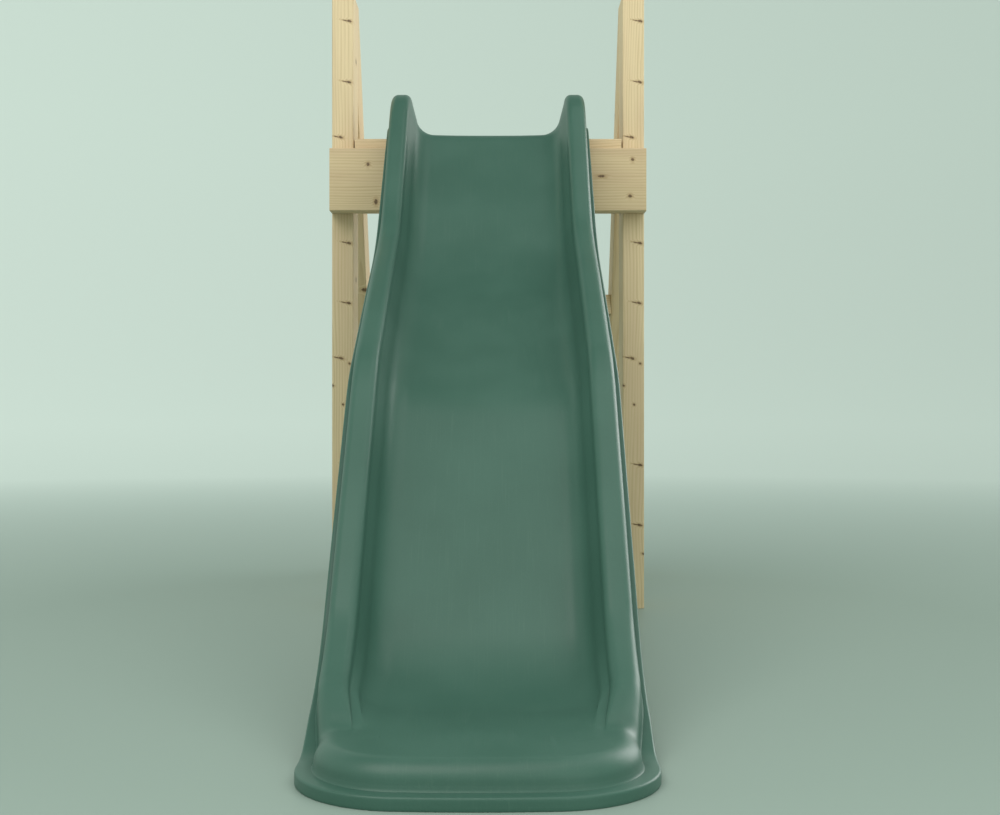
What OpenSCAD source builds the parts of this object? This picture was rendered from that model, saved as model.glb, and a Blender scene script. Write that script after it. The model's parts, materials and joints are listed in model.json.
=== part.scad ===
// Free-standing toddler slide: one moulded wave chute hung on a timber ladder frame.
// Origin: middle of the footprint, on the ground. +X is to the right of someone who faces
// the ladder from the chute's end, +Y points to the ladder, and the chute runs down to -Y.

/* [Frame] */
// Width over the outer faces of the two posts
frame_w = 640; // [560:1:800]
// Height of the post tops, which are the handrails, above the deck
handrail_h = 297; // [247:1:357]
// Lean of the ladder legs from upright, in degrees
leg_lean = 25.5; // [21:0.5:31]
// Height above the post tops at which the back of a leg would meet the back of its post
leg_meet = 27; // [15:1:40]
// Height of the deck's walking face
deck_h = 963; // [800:1:1160]
// Height of the lower tread's walking face
lower_tread_h = 334; // [200:1:400]
// Height of the upper tread's walking face
upper_tread_h = 668; // [500:1:700]

/* [Timber] */
// Thickness of every sawn board
timber_t = 44; // [36:1:53]
// Width of the posts, legs and treads
timber_w = 94; // [78:1:113]
// Width of the deck boards
deck_board_w = 120; // [100:1:125]
// Height of the fascia board
fascia_w = 127; // [110:1:150]
// Gap between the fascia's top front edge and the chute that passes over it
fascia_clear = 5.5; // [3:0.5:15]
// Gap between the two deck boards
deck_gap = 5; // [3:1:10]
// Gap at each end of a deck board, between it and the post or leg
deck_end_gap = 2.5; // [1:0.5:5]
// Distance from the back of a leg, at the bearer's top, to the bearer's end
bearer_inset = 7.5; // [2:0.5:20]

/* [Chute] */
// Width of the chute over its lips
chute_w = 405; // [380:1:440]
// Wall thickness of the moulding
skin_t = 5; // [4:0.5:6]
// Slope of the upper straight, in degrees
upper_slope = 47; // [44:1:50]
// Slope of the gentle straight before the hump, in degrees
middle_slope = 28; // [24:1:32]
// Slope of the lower straight, in degrees
lower_slope = 47.5; // [44:0.5:50]
// Length of the upper straight
upper_l = 296; // [247:1:355]
// Length of the gentle straight
middle_l = 340; // [283:1:408]
// Length of the head that lies on the deck
head_l = 60; // [50:1:72]
// Length of the flat run-out, from the last bend to the front rim
runout_l = 245; // [225:1:300]
// Height of the run-out's sliding face above the ground
runout_h = 46; // [44:1:60]
// Height of the side rails at the head, where they stand up as ears
ear_h = 82; // [72:1:98]

/* [Fasteners] */
// Diameter of the coach screws
coach_d = 8; // [6:1:10]
// Length of the coach screws at the tops of the legs
apex_screw_l = 110; // [90:1:115]
// Diameter of the countersunk screws in the deck and its bearers
wood_screw_d = 5; // [4:0.5:6]
// Diameter of the screws that hold the treads and the chute
long_screw_d = 6; // [5:0.5:7]
// Radial room between a screw and its hole
hole_clear = 0.1; // [0.05:0.05:0.3]

/* [Hidden] */
$fn = 48;

PINE = [0.80, 0.74, 0.58];
GREEN = [0.25, 0.40, 0.34];
ZINC = [0.72, 0.73, 0.72];

// Frame: places worked out from the driving sizes. Depths are measured from the posts' front.
inner_x = frame_w / 2 - timber_t;
mid_x = frame_w / 2 - timber_t / 2;
leg_depth = timber_w / cos(leg_lean);
post_h = deck_h + handrail_h;
apex_z = post_h + leg_meet;
function leg_back(z) = timber_w + (apex_z - z) * tan(leg_lean);
function leg_front(z) = leg_back(z) - leg_depth;
function leg_mid(z) = leg_back(z) - leg_depth / 2;
bearer_top = deck_h - timber_t;
bearer_start = 4;
bearer_l = leg_back(bearer_top) - bearer_inset - bearer_start;
cut = 1;

// Chute: the bed line is a chain of straights and bends, each [length, slope in, slope out].
crest_r = 60;
valley_r = 620;
hump_r = 240;
last_bend_r = 215;
function bend(r, a, b) = [r * abs(b - a) * PI / 180, a, b];
head_z = deck_h + skin_t;
// The fascia's top stays under the chute, whose underside passes its front at under_z
under_z = head_z - crest_r * (1 - cos(upper_slope)) - skin_t / cos(upper_slope)
        - (timber_t - crest_r * sin(upper_slope)) * tan(upper_slope);
fascia_z = under_z - fascia_clear - fascia_w;
bends_drop = crest_r * (1 - cos(upper_slope)) + upper_l * sin(upper_slope)
           + valley_r * (cos(middle_slope) - cos(upper_slope)) + middle_l * sin(middle_slope)
           + hump_r * (cos(middle_slope) - cos(lower_slope))
           + last_bend_r * (1 - cos(lower_slope));
lower_l = (head_z - runout_h - bends_drop) / sin(lower_slope);
BED = [[head_l, 0, 0],
       bend(crest_r, 0, upper_slope),
       [upper_l, upper_slope, upper_slope],
       bend(valley_r, upper_slope, middle_slope),
       [middle_l, middle_slope, middle_slope],
       bend(hump_r, middle_slope, lower_slope),
       [lower_l, lower_slope, lower_slope],
       bend(last_bend_r, lower_slope, 0),
       [runout_l, 0, 0]];
// Rings of the mesh in each stretch of the bed line; the last stops where the corner begins
RINGS = [8, 5, 5, 5, 5, 4, 5, 7, 6];

// The point [run, z] reached after length l on a stretch that starts at p
function along(p, stretch, l) =
    let (a = stretch[1],
         b = stretch[2],
         now = a + (b - a) * l / stretch[0],
         r = stretch[0] / ((b - a) * PI / 180))
    a == b ? p + l * [cos(a), -sin(a)] : p + r * [sin(now) - sin(a), cos(now) - cos(a)];
function bed_start(i) = i == 0 ? [-head_l, head_z] : along(bed_start(i - 1), BED[i - 1], BED[i - 1][0]);
STARTS = [for (i = [0:len(BED) - 1]) bed_start(i)];
function length_to(i) = i == 0 ? 0 : length_to(i - 1) + BED[i - 1][0];
S = [for (i = [0:len(BED)]) length_to(i)];
function stretch_at(s, i = 0) = i == len(BED) - 1 || s < S[i + 1] ? i : stretch_at(s, i + 1);
// [run, z, slope] at length s along the bed line
function bed_at(s) =
    let (i = stretch_at(s),
         l = s - S[i],
         p = along(STARTS[i], BED[i], l))
    [p[0], p[1], BED[i][1] + (BED[i][2] - BED[i][1]) * min(1, l / BED[i][0])];

reach = bed_at(S[len(BED)])[0];
foot = leg_back(0);
post_y = (reach - foot) / 2;

// Rails: [length along the bed, height of the rail's top, height of the lip], over the bed
lip_turn = 15;
lip_rest = lip_turn - skin_t;
lip_foot = lip_turn - runout_h;
bend_mid = (S[7] + S[8]) / 2;
RAIL = [[0, ear_h, lip_rest],
        [head_l / 2, ear_h, lip_rest],
        [head_l, ear_h, lip_rest + 2],
        [S[2], ear_h - 3, 22],
        [S[3], 66, 31],
        [S[4], 79, 42],
        [S[5], 72, 40],
        [S[6], 67, 41],
        [S[7], 68, 41],
        [bend_mid, 64, 32],
        [S[8], 43, 6],
        [S[8] + 50, 17, -19],
        [S[8] + 74, 2, lip_foot + 3],
        [S[8] + 98, 0, lip_foot],
        [S[9], 0, lip_foot]];
function slope_of(k, c) =
    k == 0 || k == len(RAIL) - 1 ? 0
    : (RAIL[k + 1][c] - RAIL[k - 1][c]) / (RAIL[k + 1][0] - RAIL[k - 1][0]);
function knot_at(s, k = 0) = k == len(RAIL) - 2 || s < RAIL[k + 1][0] ? k : knot_at(s, k + 1);
// A smooth curve through column c of RAIL
function rail_at(s, c) =
    let (k = knot_at(s),
         w = RAIL[k + 1][0] - RAIL[k][0],
         u = min(1, (s - RAIL[k][0]) / w))
    RAIL[k][c] * (1 + 2 * u) * (1 - u) * (1 - u) + slope_of(k, c) * w * u * (1 - u) * (1 - u)
    + RAIL[k + 1][c] * u * u * (3 - 2 * u) - slope_of(k + 1, c) * w * u * u * (1 - u);
// The rail's back end rises from the head as a quarter ellipse
ear_l = 40;
function ear(s) = s < ear_l ? sqrt(1 - pow(1 - s / ear_l, 2)) : 1;
function rail_top(s) = mix(lip_rest, rail_at(s, 1), ear(s));
function ease(a, b, s) = let (u = max(0, min(1, (s - a) / (b - a)))) u * u * (3 - 2 * u);
function mix(a, b, u) = a + (b - a) * u;

// The bed is a little dished across, except where it lies on the deck and at the front rim
dish = 4;
function dish_at(s) = dish * ease(head_l, S[2] - 8, s) * (1 - ease(S[8], S[9] - rim_d, s));

// Cross-section from the lip inwards, as [inset from the edge, height over the bed], where in
// is how far inside the skin. The rails fade away where the run-out's flange begins. Along the
// head the lip's lower edge rests on the deck, never below it.
half_w = chute_w / 2;
rim_d = 94;
ear_lip = 4;
lip_side = 6;
lip_front = 18;
rail_round = 12;
rim_round = 24;
draft = 0.06;
ridge_d = 46.5;
ridge_front_d = 60;
ridge_soft = 3;
fillet_r = 38;
fillet_front = 22;
wall_lean = 13;
function section(s, in) =
    let (full = max(0, rail_top(s)),
         h = full - in,
         tall = ease(0, 40, full),
         side = 1 - ease(S[8] - 20, S[8] + 98, s),
         lip = max(s < head_l ? lip_rest : lip_foot, rail_at(s, 2)),
         flat = mix(lip_front, mix(ear_lip, lip_side, ease(head_l, S[3], s)), side),
         edge_r = in > 0 ? 1.2 : 3,
         top_r = min(mix(rim_round, rail_round, tall), 0.8 * (full - lip) + 6) - in,
         top_d = flat + 1 + draft * (full - lip) + in,
         ridge = mix(ridge_front_d, ridge_d, side) - in,
         ridge_h = max(0, min(rail_round, full / 3) - in),
         ridge_w = max(ridge_soft, ridge_h),
         fillet_w = mix(fillet_front, fillet_r, side) + in * tall,
         fillet_h = min(fillet_r, 0.6 * full))
    [[in, lip - lip_turn],
     [in, lip - in - edge_r],
     [in + 0.3 * edge_r, lip - in - 0.3 * edge_r],
     [in + edge_r, lip - in],
     [flat + in / 2, lip - in],
     [flat + 1.5 + in, min(lip + 2, full) - 0.4 * in],
     for (a = [0, 30, 60, 90]) [top_d + top_r * (1 - cos(a)), h - top_r * (1 - sin(a))],
     for (a = [90, 45, 0]) [ridge - ridge_w * (1 - cos(a)), h - ridge_h * (1 - sin(a))],
     for (a = [wall_lean, 35, 60, 90])
         [rim_d - fillet_w * cos(a),
          dish_at(s) + fillet_h * (1 - sin(a)) - in * mix(1, sin(a), tall)]];
J = len(section(0, 0));

// Plan of the edge: straight sides, round front corners and a slightly crowned front.
// Each spoke is [edge x, edge s, bed-edge x, bed-edge s] on the left half.
corner_r = 125;
corner_turn = 86;
bed_corner_r = corner_r - rim_d;
corner_steps = 7;
front_steps = 3;
s_front = S[9];
edge_mx = half_w - corner_r + corner_r * cos(corner_turn);
crown = tan(90 - corner_turn) / (2 * edge_mx);
bed_x = half_w - rim_d;
bed_mx = bed_x - bed_corner_r + bed_corner_r * cos(corner_turn);
edge_s = s_front - crown * edge_mx * edge_mx - corner_r * sin(corner_turn);
bed_s = s_front - rim_d - crown * bed_mx * bed_mx - bed_corner_r * sin(corner_turn);
LAST = len(BED) - 1;
SIDES = [for (i = [0:LAST])
             for (k = [0:RINGS[i] - 1])
                 let (end = i == LAST ? edge_s : S[i + 1],
                      bed_end = i == LAST ? bed_s : S[i + 1],
                      last = RINGS[i] - (i == LAST ? 1 : 0),
                      u = i == 0 ? pow(k / last, 2) : k / last)
                 [-half_w, mix(S[i], end, u), -bed_x, mix(S[i], bed_end, u)]];
CORNER = [for (k = [1:corner_steps])
              let (a = corner_turn * k / corner_steps)
              [-(half_w - corner_r + corner_r * cos(a)), edge_s + corner_r * sin(a),
               -(bed_x - bed_corner_r + bed_corner_r * cos(a)), bed_s + bed_corner_r * sin(a)]];
FRONT = [for (k = [1:front_steps])
             let (x = edge_mx * (1 - k / front_steps),
                  b = bed_mx * (1 - k / front_steps))
             [-x, s_front - crown * x * x, -b, s_front - rim_d - crown * b * b]];
HALF = concat(SIDES, CORNER, FRONT);
N = len(SIDES);
C = 2 * len(HALF) - 1;
M = 2 * (corner_steps + front_steps);
function spoke(c) = c < len(HALF) ? HALF[c] : let (m = HALF[C - 1 - c]) [-m[0], m[1], -m[2], m[3]];

// A point in the slide's own frame, from x, length s along the bed and height h over it
function place(x, s, h) =
    let (p = bed_at(s))
    [x, post_y - p[0] - h * sin(p[2]), p[1] + h * cos(p[2])];
// How far the inside is set back along the bed, to give the ear's back end its thickness
end_rise = 22;
function end_wall(s, h, in) = in * max(0, 1 - s / ear_l) * max(0, min(1, h / end_rise));
function rim_points(in) =
    [for (c = [0:C - 1])
        let (k = spoke(c),
             profile = section(k[1], in))
        for (p = profile)
            place(mix(k[0], k[2], p[0] / rim_d),
                  mix(k[1], k[3], p[0] / rim_d) + end_wall(k[1], p[1], in),
                  p[1])];
function bed_points(in) =
    [for (k = [0:N - 2], i = [1:M - 1])
        let (x = -bed_x * spoke(N - 1 + i)[2] / spoke(N - 1)[2],
             s = spoke(k)[3])
        place(x, s, dish_at(s) * x * x / (bed_x * bed_x) - in)];
SKIN_N = C * J + (N - 1) * (M - 1);
function rim_i(c, j, side) = side * SKIN_N + c * J + j;
function bed_i(k, i, side) =
    i == 0 ? rim_i(k, J - 1, side)
    : i == M ? rim_i(C - 1 - k, J - 1, side)
    : k == N - 1 ? rim_i(N - 1 + i, J - 1, side)
    : side * SKIN_N + C * J + k * (M - 1) + i - 1;
function two(a, b, c, d) = [[a, b, c], [a, c, d]];
CHUTE_FACES = [
    for (c = [0:C - 2], j = [0:J - 2])
        each two(rim_i(c, j, 0), rim_i(c, j + 1, 0), rim_i(c + 1, j + 1, 0), rim_i(c + 1, j, 0)),
    for (c = [0:C - 2], j = [0:J - 2])
        each two(rim_i(c, j, 1), rim_i(c + 1, j, 1), rim_i(c + 1, j + 1, 1), rim_i(c, j + 1, 1)),
    for (k = [0:N - 2], i = [0:M - 1])
        each two(bed_i(k, i, 0), bed_i(k, i + 1, 0), bed_i(k + 1, i + 1, 0), bed_i(k + 1, i, 0)),
    for (k = [0:N - 2], i = [0:M - 1])
        each two(bed_i(k, i, 1), bed_i(k + 1, i, 1), bed_i(k + 1, i + 1, 1), bed_i(k, i + 1, 1)),
    for (c = [0:C - 2])
        each two(rim_i(c, 0, 0), rim_i(c + 1, 0, 0), rim_i(c + 1, 0, 1), rim_i(c, 0, 1)),
    for (j = [0:J - 2])
        each two(rim_i(0, j + 1, 0), rim_i(0, j, 0), rim_i(0, j, 1), rim_i(0, j + 1, 1)),
    for (j = [0:J - 2])
        each two(rim_i(C - 1, j, 0), rim_i(C - 1, j + 1, 0), rim_i(C - 1, j + 1, 1), rim_i(C - 1, j, 1)),
    for (i = [0:M - 1])
        each two(bed_i(0, i + 1, 0), bed_i(0, i, 0), bed_i(0, i, 1), bed_i(0, i + 1, 1))
];

// Fasteners: sizes and places
head_ratio = 2;
washer_t = 1.6;
coach_head_h = 5.3;
spot_sink = 8;
fascia_screw_l = timber_w + 31;
tip_cover = 8;
bearer_screw_l = 2 * timber_t - tip_cover;
deck_screw_l = 1.5 * timber_t;
tread_screw_l = timber_t + 56;
chute_screw_l = skin_t + 30;
apex_z_list = [post_h - 80, post_h - 150];
fascia_mid = fascia_z + fascia_w / 2;
fascia_z_list = [fascia_mid - 40, fascia_mid + 40];
// The screws through a bearer lie lower than the tips of the screws from the deck
bearer_screw_z = bearer_top - 0.75 * timber_t;
post_screw_list = [timber_w / 2 - 11, timber_w / 2 + 11];
leg_screw_list = [leg_mid(bearer_screw_z) - 23, leg_mid(bearer_screw_z) + 12];
deck_screw_x = inner_x - timber_t / 2;
deck_screw_list = [-35, 35];
tread_screw_list = [-24, 24];
chute_screw_list = [-90, 0, 90];
chute_screw_y = post_y + head_l / 2;

// A screw that points to -Z, with its head's top or seat at z = 0
module countersunk(d, l, grow = 0) {
    sink = (head_ratio - 1) * d / 2;
    translate([0, 0, -sink])
        cylinder(r1 = d / 2 + grow, r2 = head_ratio * d / 2 + grow, h = sink);
    translate([0, 0, -(l - d)])
        cylinder(r = d / 2 + grow, h = l - d - sink);
    translate([0, 0, -l])
        cylinder(r1 = 0.4 + grow, r2 = d / 2 + grow, h = d);
}
module coach_screw(d, l) {
    translate([0, 0, washer_t])
        cylinder(r = 0.94 * d, h = coach_head_h, $fn = 6);
    translate([0, 0, -(l - d)])
        cylinder(r = d / 2, h = l - d + washer_t);
    translate([0, 0, -l])
        cylinder(r1 = 0.4, r2 = d / 2, h = d);
}
module pan_screw(d, l) {
    difference() {
        translate([0, 0, washer_t])
            intersection() {
                cylinder(r = d, h = 0.6 * d);
                translate([0, 0, -d])
                    sphere(r = 1.6 * d);
            }
        translate([0, 0, washer_t + 0.3 * d])
            cylinder(r = 0.45 * d, h = d, $fn = 6);
    }
    translate([0, 0, -(l - d)])
        cylinder(r = d / 2, h = l - d + washer_t);
    translate([0, 0, -l])
        cylinder(r1 = 0.4, r2 = d / 2, h = d);
}
module washer(d) {
    difference() {
        cylinder(r = 1.1 * d, h = washer_t);
        translate([0, 0, -cut])
            cylinder(r = d / 2 + hole_clear, h = washer_t + 2 * cut);
    }
}
// The hole for a straight screw that points to -Z, open upwards
module hole(d, l) {
    translate([0, 0, -(l + cut)])
        cylinder(r = d / 2 + hole_clear, h = l + 2 * cut);
}

// Places: children point to -Z and are turned to point along the named way
module to_front() {
    rotate([-90, 0, 0]) children();
}
module to_left() {
    rotate([0, 90, 0]) children();
}
module to_right() {
    rotate([0, -90, 0]) children();
}
module both_sides() {
    children();
    mirror([1, 0, 0]) children();
}
module apex_places() {
    for (z = apex_z_list)
        translate([mid_x, post_y + leg_back(z) - spot_sink, z])
            to_front() children();
}
module fascia_places() {
    for (z = fascia_z_list)
        translate([mid_x, post_y + timber_w, z])
            to_front() children();
}
module bearer_places() {
    for (y = concat(post_screw_list, leg_screw_list))
        translate([inner_x - timber_t, post_y + y, bearer_screw_z])
            to_right() children();
}
module deck_places(y0) {
    for (y = deck_screw_list)
        translate([deck_screw_x, post_y + y0 + deck_board_w / 2 + y, deck_h])
            children();
}
module tread_places(top) {
    for (y = tread_screw_list)
        translate([frame_w / 2, post_y + leg_mid(top - timber_t / 2) + y, top - timber_t / 2])
            to_left() children();
}
module chute_places() {
    for (x = chute_screw_list)
        translate([x, chute_screw_y, head_z])
            children();
}

module post() {
    difference() {
        translate([inner_x, post_y, 0])
            cube([timber_t, timber_w, post_h]);
        apex_places() hole(coach_d, apex_screw_l);
        fascia_places() hole(coach_d, fascia_screw_l);
        bearer_places() hole(wood_screw_d, bearer_screw_l);
    }
}
module left_post() {
    color(PINE) mirror([1, 0, 0]) post();
}
module right_post() {
    color(PINE) post();
}

module leg() {
    difference() {
        translate([inner_x, post_y, 0])
            rotate([90, 0, 90])
                linear_extrude(timber_t)
                    polygon([[leg_front(0), 0],
                             [leg_back(0), 0],
                             [leg_back(post_h), post_h],
                             [timber_w, post_h],
                             [timber_w, apex_z - leg_depth / tan(leg_lean)]]);
        apex_places() {
            hole(coach_d, apex_screw_l);
            cylinder(r = 1.1 * coach_d + 1, h = 4 * spot_sink);
        }
        bearer_places() hole(wood_screw_d, bearer_screw_l);
        tread_places(upper_tread_h) countersunk(long_screw_d, tread_screw_l, hole_clear);
        tread_places(lower_tread_h) countersunk(long_screw_d, tread_screw_l, hole_clear);
    }
}
module left_leg() {
    color(PINE) mirror([1, 0, 0]) leg();
}
module right_leg() {
    color(PINE) leg();
}

module fascia_board() {
    color(PINE) difference() {
        translate([-frame_w / 2, post_y - timber_t, fascia_z])
            cube([frame_w, timber_t, fascia_w]);
        both_sides() fascia_places() hole(coach_d, fascia_screw_l);
    }
}

module deck_board(y0) {
    difference() {
        translate([deck_end_gap - inner_x, post_y + y0, bearer_top])
            cube([2 * (inner_x - deck_end_gap), deck_board_w, timber_t]);
        both_sides() deck_places(y0) countersunk(wood_screw_d, deck_screw_l, hole_clear);
    }
}
rear_board_y = deck_board_w + deck_gap;
module front_deck_board() {
    color(PINE) difference() {
        deck_board(0);
        chute_places() hole(long_screw_d, chute_screw_l);
    }
}
module rear_deck_board() {
    color(PINE) deck_board(rear_board_y);
}

module deck_bearer() {
    difference() {
        translate([inner_x - timber_t, post_y + bearer_start, bearer_top - timber_t])
            cube([timber_t, bearer_l, timber_t]);
        bearer_places() countersunk(wood_screw_d, bearer_screw_l, hole_clear);
        deck_places(0) hole(wood_screw_d, deck_screw_l);
        deck_places(rear_board_y) hole(wood_screw_d, deck_screw_l);
    }
}
module left_deck_bearer() {
    color(PINE) mirror([1, 0, 0]) deck_bearer();
}
module right_deck_bearer() {
    color(PINE) deck_bearer();
}

module tread(top) {
    difference() {
        translate([-inner_x, post_y + leg_mid(top - timber_t / 2) - timber_w / 2, top - timber_t])
            cube([2 * inner_x, timber_w, timber_t]);
        both_sides() tread_places(top) hole(long_screw_d, tread_screw_l);
    }
}
module upper_tread() {
    color(PINE) tread(upper_tread_h);
}
module lower_tread() {
    color(PINE) tread(lower_tread_h);
}

module chute() {
    color(GREEN) difference() {
        polyhedron(points = concat(rim_points(0), bed_points(0), rim_points(skin_t), bed_points(skin_t)),
                   faces = CHUTE_FACES, convexity = 8);
        chute_places() hole(long_screw_d, chute_screw_l);
    }
}

module right_apex_screws() {
    color(ZINC) apex_places() coach_screw(coach_d, apex_screw_l);
}
module left_apex_screws() {
    color(ZINC) mirror([1, 0, 0]) apex_places() coach_screw(coach_d, apex_screw_l);
}
module apex_washers() {
    color(ZINC) both_sides() apex_places() washer(coach_d);
}
module fascia_screws() {
    color(ZINC) both_sides() fascia_places() coach_screw(coach_d, fascia_screw_l);
}
module fascia_washers() {
    color(ZINC) both_sides() fascia_places() washer(coach_d);
}
module right_bearer_screws() {
    color(ZINC) bearer_places() countersunk(wood_screw_d, bearer_screw_l);
}
module left_bearer_screws() {
    color(ZINC) mirror([1, 0, 0]) bearer_places() countersunk(wood_screw_d, bearer_screw_l);
}
module deck_screws() {
    color(ZINC) both_sides() {
        deck_places(0) countersunk(wood_screw_d, deck_screw_l);
        deck_places(rear_board_y) countersunk(wood_screw_d, deck_screw_l);
    }
}
module upper_tread_screws() {
    color(ZINC) both_sides() tread_places(upper_tread_h) countersunk(long_screw_d, tread_screw_l);
}
module lower_tread_screws() {
    color(ZINC) both_sides() tread_places(lower_tread_h) countersunk(long_screw_d, tread_screw_l);
}
module chute_screws() {
    color(ZINC) chute_places() pan_screw(long_screw_d, chute_screw_l);
}
module chute_washers() {
    color(ZINC) chute_places() washer(long_screw_d);
}

chute();
left_post();
right_post();
left_leg();
right_leg();
fascia_board();
front_deck_board();
rear_deck_board();
left_deck_bearer();
right_deck_bearer();
upper_tread();
lower_tread();
left_apex_screws();
right_apex_screws();
apex_washers();
fascia_screws();
fascia_washers();
left_bearer_screws();
right_bearer_screws();
deck_screws();
upper_tread_screws();
lower_tread_screws();
chute_screws();
chute_washers();
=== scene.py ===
import bpy
import bmesh
import json
from math import sin, cos, tan, pi, sqrt, radians
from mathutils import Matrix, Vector

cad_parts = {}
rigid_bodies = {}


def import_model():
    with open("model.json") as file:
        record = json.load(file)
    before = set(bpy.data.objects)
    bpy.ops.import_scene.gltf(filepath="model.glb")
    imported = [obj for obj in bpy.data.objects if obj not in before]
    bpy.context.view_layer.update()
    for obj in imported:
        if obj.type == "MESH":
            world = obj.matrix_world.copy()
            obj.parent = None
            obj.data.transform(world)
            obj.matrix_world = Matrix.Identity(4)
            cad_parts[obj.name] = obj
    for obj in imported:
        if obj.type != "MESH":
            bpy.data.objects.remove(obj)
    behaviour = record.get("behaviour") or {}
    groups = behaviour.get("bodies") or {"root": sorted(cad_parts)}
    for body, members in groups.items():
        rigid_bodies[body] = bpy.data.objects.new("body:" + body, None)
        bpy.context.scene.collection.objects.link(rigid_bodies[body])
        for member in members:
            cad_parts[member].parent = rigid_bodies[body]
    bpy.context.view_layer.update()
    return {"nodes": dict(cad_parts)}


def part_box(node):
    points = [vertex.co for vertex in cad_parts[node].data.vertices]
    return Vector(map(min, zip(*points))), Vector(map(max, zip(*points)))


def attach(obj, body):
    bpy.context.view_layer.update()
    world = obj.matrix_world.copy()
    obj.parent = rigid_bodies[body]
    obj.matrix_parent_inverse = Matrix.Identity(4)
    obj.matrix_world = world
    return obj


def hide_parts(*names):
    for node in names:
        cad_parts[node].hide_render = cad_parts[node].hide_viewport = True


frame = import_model()

# ---- Where the slide stands -------------------------------------------------------------
# The two posts give every other piece its place: their front faces are the zero for depth.
post_lo, post_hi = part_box("right_post")
front_y = post_lo.y
inner_x = post_lo.x
outer_x = post_hi.x
board_t = outer_x - inner_x
board_w = post_hi.y - post_lo.y

# ---- Posts ------------------------------------------------------------------------------
# Two uprights of planed softwood, cut square at both ends, whose tops are the handrails.
# Every arris is eased by the planer; the saw leaves only a fine broken edge on the ends.
arris_r = 0.0026
cut_r = 0.0007


def curve_of(x, a, b):
    """0 at a, 1 at b, and smooth between."""
    u = max(0.0, min(1.0, (x - a) / (b - a)))
    return u * u * (3 - 2 * u)


def recess_cutter(name, axis_point, direction, profile, sides=40):
    """A turned shape for a hole: profile is [[radius, depth below the face], ...]."""
    mesh = bpy.data.meshes.new(name)
    cutter = bpy.data.objects.new(name, mesh)
    bpy.context.scene.collection.objects.link(cutter)
    turn = Vector(direction).to_track_quat("Z", "Y")
    made = bmesh.new()
    rings = []
    for radius, depth in profile:
        ring = []
        for k in range(sides):
            a = 2 * pi * k / sides
            point = turn @ Vector((radius * cos(a), radius * sin(a), -depth))
            ring.append(made.verts.new(Vector(axis_point) + point))
        rings.append(ring)
    for low, high in zip(rings, rings[1:]):
        for k in range(sides):
            made.faces.new((low[k], low[(k + 1) % sides], high[(k + 1) % sides], high[k]))
    made.faces.new(rings[0])
    made.faces.new(list(reversed(rings[-1])))
    bmesh.ops.recalc_face_normals(made, faces=made.faces)
    made.to_mesh(mesh)
    made.free()
    return cutter


def sawn_board(name, outline, thick, place, along, holes=()):
    """A board from its outline in a plane and its thickness. place maps (a, b, c) to the frame,
    along is the grain's direction, and holes are the shapes to take out of it."""
    made = bmesh.new()
    near = [made.verts.new(place(a, b, 0)) for a, b in outline]
    far = [made.verts.new(place(a, b, thick)) for a, b in outline]
    count = len(outline)
    made.faces.new(near)
    made.faces.new(list(reversed(far)))
    for k in range(count):
        made.faces.new((near[(k + 1) % count], near[k], far[k], far[(k + 1) % count]))
    bmesh.ops.recalc_face_normals(made, faces=made.faces)
    grain = Vector(along).normalized()
    long_edges = []
    for edge in made.edges:
        run = (edge.verts[1].co - edge.verts[0].co).normalized()
        if abs(run.dot(grain)) > 0.9 and edge.calc_face_angle(0) > 0.6:
            long_edges.append(edge)
    bmesh.ops.bevel(made, geom=long_edges, offset=arris_r, segments=4, profile=0.5,
                    affect="EDGES", clamp_overlap=True)
    end_edges = [e for e in made.edges if e.calc_face_angle(0) > 0.9]
    bmesh.ops.bevel(made, geom=end_edges, offset=cut_r, segments=2, profile=0.5,
                    affect="EDGES", clamp_overlap=True)
    mesh = bpy.data.meshes.new(name)
    made.to_mesh(mesh)
    made.free()
    piece = bpy.data.objects.new(name, mesh)
    bpy.context.scene.collection.objects.link(piece)
    for cutter in holes:
        take = piece.modifiers.new("hole", "BOOLEAN")
        take.operation = "DIFFERENCE"
        take.solver = "EXACT"
        take.object = cutter
    if holes:
        bpy.context.view_layer.update()
        ready = piece.evaluated_get(bpy.context.evaluated_depsgraph_get())
        cut_mesh = bpy.data.meshes.new_from_object(ready)
        cut_mesh.name = name
        piece.modifiers.clear()
        piece.data = cut_mesh
        for cutter in holes:
            bpy.data.objects.remove(cutter)
    for face in piece.data.polygons:
        face.use_smooth = True
    piece.data.set_sharp_from_angle(angle=radians(35))
    return piece


def put_grain(piece, start, along, across):
    """Gives every point of a board its place in the tree: along, across and through."""
    u = Vector(along).normalized()
    v = Vector(across).normalized()
    w = u.cross(v)
    layer = piece.data.attributes.new("grain", "FLOAT_VECTOR", "POINT")
    for point, value in zip(piece.data.vertices, layer.data):
        from_start = point.co - Vector(start)
        value.vector = (from_start.dot(u), from_start.dot(v), from_start.dot(w))


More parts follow.
